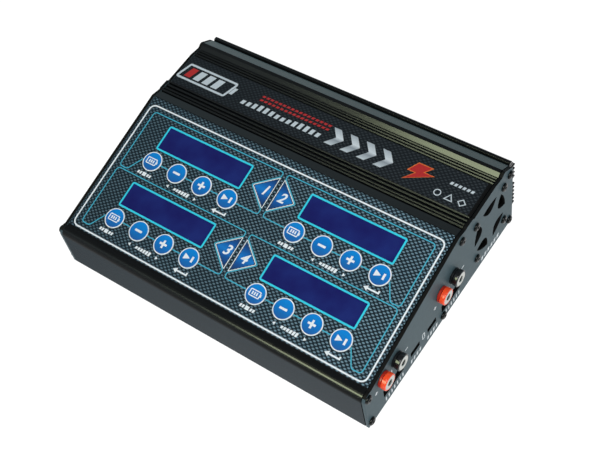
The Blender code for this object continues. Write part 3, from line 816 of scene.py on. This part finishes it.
def plate_outline():
    """The plate follows the case's top line and stops short of its fins."""
    low, high = box_mm("right_end_plate")
    nose = (low.y - PLATE_INSET + NOSE_RADIUS, NOSE_TOP - NOSE_RADIUS)
    outline = [(low.y, low.z)] + arc(nose, NOSE_RADIUS - PLATE_INSET, 180, 90, 8)
    outline.append((low.y + 5.4, NOSE_TOP - PLATE_INSET))
    for v in (PANEL_V[0] - 1.0, PANEL_V[1] + 0.3):
        point = PANEL @ Vector((0, v * MM, -0.1 * MM)) / MM
        outline.append((point.y, point.z))
    ribs = [(54.0, 58.4), (52.4, 59.0), (46.0, 59.0), (44.8, 57.7), (20.4, 59.1), (12.8, 58.2), (11.0, 59.4)]
    lip = [(10.1, high.z), (8.9, high.z), (1.4, 55.3), (0.0, 53.6), (0.0, low.z)]
    return outline + [(high.y - before, z) for before, z in ribs + lip]


def leaf(index, centre):
    """One cooling hole: a flat arc outside and a deep one towards the fan's hub."""
    steps, half, chord, inner, outer = 14, 7.6, 16.2, 6.2, 1.3
    across = [half * (2 * i / steps - 1) for i in range(steps + 1)]
    bow = [1 - (t / half) ** 2 for t in across]
    points = [(t, chord - inner * b) for t, b in zip(across, bow)]
    points += [(t, chord + outer * b) for t, b in zip(across, bow)][-2:0:-1]
    turn = Matrix.Rotation(math.radians(360 * index / LEAF_COUNT), 2)
    return [tuple(turn @ Vector(point) + Vector(centre)) for point in points]


def channels_at(side):
    """The even channels come out of the right end, the odd ones out of the left one."""
    return (2, 4) if side > 0 else (1, 3)


def socket_places(side):
    """Each output socket of one end: its channel, its polarity, and its Y and Z."""
    for number in channels_at(side):
        for polarity in ("positive", "negative"):
            at = middle(f"output_{number}_{polarity}")
            yield number, polarity, (at.y, at.z)


def balance_places(side):
    return [(number, (middle(f"balance_socket_{number}").y, SLOT_Z)) for number in channels_at(side)]


def port_places(side):
    """Two small ports stand beside the front balance socket."""
    steps = (22.7, 40.7) if side > 0 else (-37.1, -22.1)
    start = middle(f"balance_socket_{channels_at(side)[1]}").y
    return [(start + step, PORT_Z) for step in steps]


def screw_places(kind):
    """The Y and Z of each screw of one kind, by its node's name."""
    names = sorted(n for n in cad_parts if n.startswith(f"{kind}_screw_"))
    return {n: (middle(n).y, middle(n).z) for n in names}


def end_plates():
    low, high = box_mm("right_end_plate")
    thick = high.x - low.x
    fan = middle("fan_frame")
    own = {1: [leaf(i, (fan.y, fan.z)) for i in range(LEAF_COUNT)], -1: []}
    own[1] += [circle(c, SCREW_HOLE, SMALL_ROUND) for c in screw_places("fan").values()]
    for inlet, rim in (("ac_inlet", 3.5), ("dc_inlet", 2.5)):
        a, b = box_mm(inlet)
        centre = ((a.y + b.y) / 2, (a.z + b.z) / 2)
        own[-1].append(rounded(centre, (b.y - a.y - rim, b.z - a.z - rim), 1.0))
    for side, name in ((1, "right_end_plate"), (-1, "left_end_plate")):
        holes = [circle(c, SOCKET_HOLE) for _, _, c in socket_places(side)]
        holes += [rounded(c, SLOT, 0.5) for _, c in balance_places(side)]
        holes += [rounded(c, PORT, 0.5) for c in port_places(side)]
        holes += [circle(c, SCREW_HOLE, SMALL_ROUND) for c in screw_places("case").values()]
        holes = [mirrored(hole, side) for hole in holes + own[side]]
        plate = Solid()
        # Its edges and the walls of its holes take the near-black painted shade
        plate.plate(mirrored(plate_outline(), side), holes, -thick, 0.0, EDGE_ROUND, rim=1)
        # The edge at the very front, a lit edge, keeps the grey paint instead of the painted shade
        for face in plate.bm.faces:
            if side * face.calc_center_median().x / MM < low.y + 1.2:
                face.material_index = 0
        paints = [PLATE_PAINT, PLATE_EDGE_SHADE]
        piece(f"{name}_shell", plate, paints, end_frame(side), stands_for=[name], sharp=10)


def screw_mesh():
    """A button head with a hexagonal recess, on the plate's face."""
    screw = Solid()
    profile = [(1.35, -7.9), (1.35, 0.12), (2.7, 0.15), (2.75, 0.45)]
    for t in (20, 40, 60, 78, 90):
        turn = math.radians(t)
        profile.append((1.45 + 1.3 * math.cos(turn), 0.45 + 1.2 * math.sin(turn)))
    rings = [[(a, b, h) for a, b in circle((0, 0), r, SMALL_ROUND)] for r, h in profile]
    for height in (1.5, 0.6):
        hexagon = []
        for i in range(SMALL_ROUND):
            turn = 2 * math.pi * i / SMALL_ROUND
            reach = 0.85 / math.cos((turn % (math.pi / 3)) - math.pi / 6)
            hexagon.append((reach * math.cos(turn), reach * math.sin(turn), height))
        rings.append(hexagon)
    screw.loft(rings)
    mesh = screw.mesh("screw", 30)
    mesh.materials.append(BLACK_STEEL)
    return mesh


def screws():
    mesh = screw_mesh()
    for node, (y, z) in {**screw_places("case"), **screw_places("fan")}.items():
        piece(f"{node}_head", mesh, [], on_end(1, y, z), stands_for=[node])
    for node, (y, z) in screw_places("case").items():
        piece(f"left_{node}", mesh, [], on_end(-1, y, z))


def output_sockets():
    """A plastic collar on a ring, with a plated sleeve inside it; on the red sockets the ring is a darker
    red, a painted shade next to the plate.
    """
    ring = [(3.95, 0.3), (5.1, 0.3), (5.15, 0.5), (5.15, 1.5), (4.6, 1.7), (3.95, 1.7)]
    collar = [(2.9, -12.9), (2.9, -2.3), (3.9, -2.2), (3.9, 1.8), (5.0, 1.8), (5.2, 2.1), (5.2, 4.4),
              (5.1, 4.7), (4.8, 4.95), (4.5, 4.95), (4.5, 4.2), (2.6, 4.2), (2.6, -12.0)]
    tube = [(2.05, -11.5), (2.62, -11.5), (2.62, 4.25), (4.45, 4.25), (4.45, 4.85), (4.25, 5.0),
            (2.3, 5.0), (2.05, 4.7)]
    sleeve = Solid()
    sleeve.turned(tube, loop_round=True)
    sleeve_mesh = sleeve.mesh("sleeve", 30)
    sleeve_mesh.materials.append(NICKEL)
    for side in (1, -1):
        for number, polarity, (y, z) in socket_places(side):
            node = f"output_{number}_{polarity}"
            positive = polarity == "positive"
            # The red sockets' base ring takes the darker red, a painted shade
            paints = [RED, RED_RING_SHADE] if positive else [GLOSS_BLACK, GLOSS_BLACK]
            at = on_end(side, y, z)
            plastic = Solid()
            plastic.turned(collar)
            plastic.turned(ring, paint=1, loop_round=True)
            piece(f"{node}_collar", plastic, paints, at, stands_for=[node])
            piece(f"{node}_sleeve", sleeve_mesh, [], at)


def pins(b, count, pitch, thick, low, high):
    """A row of square pins, each with a tapered tip."""
    solid = Solid()
    shoulder = high - 0.3
    for i in range(count):
        a = (i - (count - 1) / 2) * pitch
        shank = rounded((a, b), (thick, thick), 0.12, 2)
        tip = rounded((a, b), (thick / 2, thick / 2), 0.06, 2)
        solid.prism(shank, low, shoulder)
        solid.loft([[(x, y, shoulder) for x, y in shank], [(x, y, high) for x, y in tip]])
    return solid


def balance_sockets():
    """Seven-pin headers behind the wide slots, and three pins in each small port."""
    for side, name in ((1, "right"), (-1, "left")):
        for number, (y, z) in balance_places(side):
            housing = Solid()
            mouth = rounded((0, 0), (20.0, 6.1), 0.3)
            housing.plate(rounded((0, 0), (22.2, 8.0), 0.4), [mouth], -9.3, -2.35, 0.12)
            housing.prism(rectangle((0, 0), (22.0, 7.8)), -15.6, -9.2)
            at = on_end(side, y, z)
            node = f"balance_socket_{number}"
            piece(f"{node}_housing", housing, [BLACK_AND_RECESS_SHADE], at, stands_for=[node])
            piece(f"{node}_pins", pins(-0.2, 7, 2.5, 0.64, -9.4, -4.4), [GOLD], at)
        for index, (y, z) in enumerate(port_places(side)):
            contacts = pins(0, 3, 2.0, 0.6, -9.0, -4.6)
            port = f"{name}_port_pins_{index + 1}"
            piece(port, contacts, [GOLD], on_end(side, y, z))


def plate_prints():
    """Polarity signs, channel numbers, and bars below the sockets, ports and fan, in pale ink."""
    low_screws = [y for y, z in screw_places("case").values() if z < 12]
    for side, name, minus_gap in ((1, "right", 10.2), (-1, "left", 6.6)):
        prints = Solid()
        for number, (y, z) in balance_places(side):
            sockets = {p: c for n, p, c in socket_places(side) if n == number}
            plus = (side * (sockets["positive"][0] - 6.9), 26.4)
            minus = (side * (sockets["negative"][0] + minus_gap), 27.4)
            between = side * (sockets["positive"][0] + sockets["negative"][0]) / 2
            prints.prism(rectangle(plus, (2.6, 0.8)))
            prints.prism(rectangle(plus, (0.8, 2.6)), high=INK_TOP + 0.005)
            prints.prism(rectangle(minus, (2.8, 0.9)))
            prints.digit(str(number), (between + side * 1.2, 26.0), 3.6, shear=0.0)
            bars = [y + (i - 3) * 2.9 for i in range(7)]
            for bar in (b for b in bars if all(abs(b - screw) > 3.4 for screw in low_screws)):
                prints.prism(rectangle((side * bar, PRINT_ROW_Z), (1.1, 3.6)))
        ports = [y for y, _ in port_places(side)]
        for y in ports:
            for i in range(4):
                at = (side * y + (i - 1.5) * 3.1, PRINT_ROW_Z)
                prints.prism(rectangle(at, (1.6, 3.0), 0.6))
        prints.ribbon(rounded((side * sum(ports) / 2, 15.6), (2.2, 5.0), 0.9), 0.6)
        if side > 0:
            fan = middle("fan_frame")
            for i in range(6):
                prints.prism(rectangle((fan.y - 9.5 + 3.7 * i, 7.6), (2.2, 3.0), 0.7))
        piece(f"{name}_plate_prints", prints, [PALE_INK], end_frame(side))


def mains_inlet():
    """A three-pole inlet: flange, chamfered mouth and three flat blades."""
    centre = middle("ac_inlet")
    at = on_end(-1, centre.y, centre.z)
    w, h, cut = 12.2, 8.3, 4.2
    mouth = fillet([(-w, -h), (w, -h), (w, h - cut), (w - cut, h), (cut - w, h), (-w, h - cut)], 0.6)
    housing = Solid()
    housing.plate(rounded((0, 0), (31.0, 23.6), 2.0), [mouth], 0.3, 2.7, 0.35)
    housing.plate(rounded((0, 0), (27.0, 19.6), 1.2), [mouth], -13.75, 0.4, 0.1)
    housing.prism(rectangle((0, 0), (26.6, 19.2)), -23.5, -13.7)
    piece("ac_inlet_housing", housing, [BLACK], at, stands_for=["ac_inlet"])
    for index, (a, b) in enumerate(((7.0, -1.6), (0.0, 2.2), (-7.0, -1.6))):
        blade = Solid()
        blade.plate(rounded((a, b), (2.0, 4.0), 0.3), [], -14.7, -1.8, 0.25)
        piece(f"ac_inlet_blade_{index + 1}", blade, [NICKEL], at)


def low_voltage_inlet():
    """A two-pole inlet with its flange, mouth and round pins."""
    centre = middle("dc_inlet")
    at = on_end(-1, centre.y, centre.z)
    mouth = fillet([(-7.6, -3.7), (7.6, -3.7), (7.6, 1.9), (5.6, 3.7), (-5.6, 3.7), (-7.6, 1.9)], 0.4)
    housing = Solid()
    housing.plate(rounded((0, 0), (22.0, 14.0), 1.5), [mouth], 0.3, 2.3, 0.3)
    housing.plate(rounded((0, 0), (19.0, 11.0), 0.8), [mouth], -7.75, 0.4, 0.1)
    housing.prism(rectangle((0, 0), (18.6, 10.6)), -13.5, -7.7)
    piece("dc_inlet_housing", housing, [BLACK], at, stands_for=["dc_inlet"])
    for index, a in enumerate((3.6, -3.6)):
        pin = Solid()
        pin.turned([(1.8, -8.5), (1.8, -1.9), (1.5, -1.4), (0.9, -1.3)], centre=(a, 0), sides=SMALL_ROUND)
        piece(f"dc_inlet_pin_{index + 1}", pin, [GOLD], at)


# Fan

def fan():
    """The frame with four struts and a hub, and an impeller whose blades are lofted from root to tip."""
    low, high = box_mm("fan_frame")
    centre = middle("fan_frame")
    depth = high.x - low.x
    at = Matrix(((0, 0, 1, low.x * MM), (1, 0, 0, centre.y * MM), (0, 1, 0, centre.z * MM), (0, 0, 0, 1)))
    square = rounded((0, 0), (FAN_SIZE, FAN_SIZE), 2.4)
    corners = [(a * FAN_SCREW_OFFSET, b * FAN_SCREW_OFFSET) for a in (-1, 1) for b in (-1, 1)]
    holes = [circle((0, 0), 18.8)] + [circle(corner, 1.8, SMALL_ROUND) for corner in corners]
    flange = 2.6
    shell = Solid()
    shell.plate(square, holes, depth - flange, depth, 0.3)
    shell.plate(square, holes, 0.0, flange, 0.3)
    shell.turned([(18.7, 1.0), (19.9, 1.0), (19.9, depth - 1.0), (18.7, depth - 1.0)], loop_round=True)
    for turn in range(4):
        spin = Matrix.Rotation(math.radians(90 * turn), 2)
        strut = [tuple(spin @ Vector(p)) for p in rectangle((13.6, 0), (11.4, 2.2))]
        shell.prism(strut, 0.3, 1.8)
    shell.turned([(9.0, 0.15), (9.0, 1.9), (8.6, 2.0)])
    piece("fan_shell", shell, [BLACK_AND_RECESS_SHADE], at, stands_for=["fan_frame"])
    rotor = Solid()
    rotor.turned([(8.8, 2.4), (9.0, 2.6), (9.0, depth - 1.3), (8.6, depth - 0.9), (7.9, depth - 0.7),
                  (7.7, depth - 0.9)])
    for index in range(BLADE_COUNT):
        rings = []
        for step in range(6):
            radius = BLADE_ROOT + (BLADE_TIP - BLADE_ROOT) * step / 5
            pitch = math.radians(50 - 3.6 * step)
            sweep = math.radians(360 * index / BLADE_COUNT + 2.5 * step)
            section = []
            for along, lift in ((-3.6, 0.05), (-1.4, 0.75), (1.2, 0.85), (3.6, 0.1), (1.2, 0.1), (-1.4, 0.0)):
                a = along * math.cos(pitch) - lift * math.sin(pitch)
                h = along * math.sin(pitch) + lift * math.cos(pitch)
                angle = sweep + a / radius
                section.append((radius * math.cos(angle), radius * math.sin(angle), 5.6 + h))
            rings.append(section)
        rotor.loft(rings)
    piece("fan_impeller", rotor, [BLACK_AND_RECESS_SHADE], at, "fan_rotor", ["fan_rotor"])


def feet():
    foot = Solid()
    foot.turned([(4.2, 0.35), (4.6, 0.0), (5.9, 0.0), (6.3, 0.25), (6.5, 0.8), (6.5, 2.5), (6.3, 2.7)])
    mesh = foot.mesh("foot", 35)
    mesh.materials.append(RUBBER)
    for node in sorted(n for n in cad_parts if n.startswith("foot_")):
        at = Matrix.Translation((middle(node).x * MM, middle(node).y * MM, 0))
        piece(f"{node}_pad", mesh, [], at, stands_for=[node])


def inside():
    for node in ("panel_board", "charger_board", "supply_board"):
        repaint(node, BOARD)
    repaint("transformer", TAPE)


# The stage

def area_light(name, at, towards, size, power, colour=(1, 1, 1), diffuse=True):
    light = bpy.data.lights.new(name, "AREA")
    light.shape = "RECTANGLE"
    light.size, light.size_y = size
    light.energy = power
    light.color = colour
    holder = bpy.data.objects.new(name, light)
    bpy.context.scene.collection.objects.link(holder)
    holder.location = at
    holder.visible_diffuse = diffuse
    holder.rotation_euler = (Vector(towards) - Vector(at)).to_track_quat("-Z", "Y").to_euler()


def floor_paint():
    """A white table that shines by itself, so that shadows hardly show on it.  It is pale blue far behind."""
    paint = Paint("floor", Roughness=0.9, Emission_Strength=1.0)
    far = paint.smooth(paint.axes()[1], 400.0, 600.0)
    paint.set("Emission Color", paint.mix(far, (1.0, 1.0, 1.0), (0.27, 0.49, 0.54)))
    patches = paint.spread(paint.noise(0.004), 0, 1)
    paint.set("Base Color", paint.mix(patches, (0.10, 0.10, 0.10), (0.13, 0.13, 0.13)))
    return paint.material


def studio():
    """A dark ceiling, a bright pale blue wall behind the table and a dimmer grey one in front of it."""
    front = ((0.22, 0.25, 0.28), (0.36, 0.43, 0.48))
    back = ((0.27, 0.49, 0.54), (0.42, 0.52, 0.56))
    ceiling = (0.14, 0.15, 0.16)
    world = bpy.data.worlds.new("studio")
    world.use_nodes = True
    nodes, links = world.node_tree.nodes, world.node_tree.links
    split = nodes.new("ShaderNodeSeparateXYZ")
    links.new(nodes.new("ShaderNodeTexCoord").outputs["Generated"], split.inputs[0])
    walls = []
    for wall in (front, back):
        ramp = nodes.new("ShaderNodeValToRGB")
        ramp.color_ramp.elements.new(0.5)
        for element, at, colour in zip(ramp.color_ramp.elements, (0.2, 0.56, 0.72), (*wall, ceiling)):
            element.position = at
            element.color = (*colour, 1.0)
        links.new(split.outputs[2], ramp.inputs[0])
        walls.append(ramp.outputs[0])
    behind = nodes.new("ShaderNodeMapRange")
    links.new(split.outputs[1], behind.inputs[0])
    behind.inputs[1].default_value = -0.2
    behind.inputs[2].default_value = 0.4
    mix = nodes.new("ShaderNodeMix")
    mix.data_type = "RGBA"
    for socket, output in ((0, behind.outputs[0]), (6, walls[0]), (7, walls[1])):
        links.new(output, mix.inputs[socket])
    links.new(mix.outputs[2], nodes["Background"].inputs["Color"])
    bpy.context.scene.world = world


def stage():
    """The floor, the walls and two lamps.  The green one shows only in reflections."""
    bm = bmesh.new()
    bmesh.ops.create_grid(bm, x_segments=1, y_segments=1, size=4.0)
    mesh = bpy.data.meshes.new("floor")
    bm.to_mesh(mesh)
    bm.free()
    mesh.materials.append(floor_paint())
    floor = bpy.data.objects.new("floor", mesh)
    bpy.context.scene.collection.objects.link(floor)
    studio()
    area_light("key_light", KEY_LIGHT_AT, (0, 0, 0), (0.9, 0.9), 13.4)
    green = (0.89, 1.0, 0.63)
    area_light("green_lamp", GREEN_LAMP_AT, (0, -0.05, 0.04), (1.02, 1.1), 34.0, green, diffuse=False)


def camera():
    """The view is from above the front right corner, a little rolled."""
    across = Vector((0.8151, 0.5640, -0.1326))
    down = Vector((0.3895, -0.7028, -0.5953))
    ahead = Vector((-0.4289, 0.4336, -0.7925))
    lens = bpy.data.cameras.new("camera")
    lens.sensor_width = 36.0
    lens.lens = 66.27
    lens.shift_x = -0.0113
    lens.shift_y = -0.0512
    lens.clip_start = 0.01
    holder = bpy.data.objects.new("camera", lens)
    bpy.context.scene.collection.objects.link(holder)
    turn = Matrix((across, -down, -ahead)).transposed().to_4x4()
    holder.matrix_world = Matrix.Translation((0.29385, -0.27625, 0.5648)) @ turn
    bpy.context.scene.camera = holder


camera()
stage()
bpy.context.scene.view_settings.view_transform = "Standard"
case()
panel_film()
displays()
keys()
panel_lines()
channel_numbers()
key_marks()
title_prints()
end_plates()
screws()
output_sockets()
balance_sockets()
plate_prints()
mains_inlet()
low_voltage_inlet()
fan()
feet()
inside()
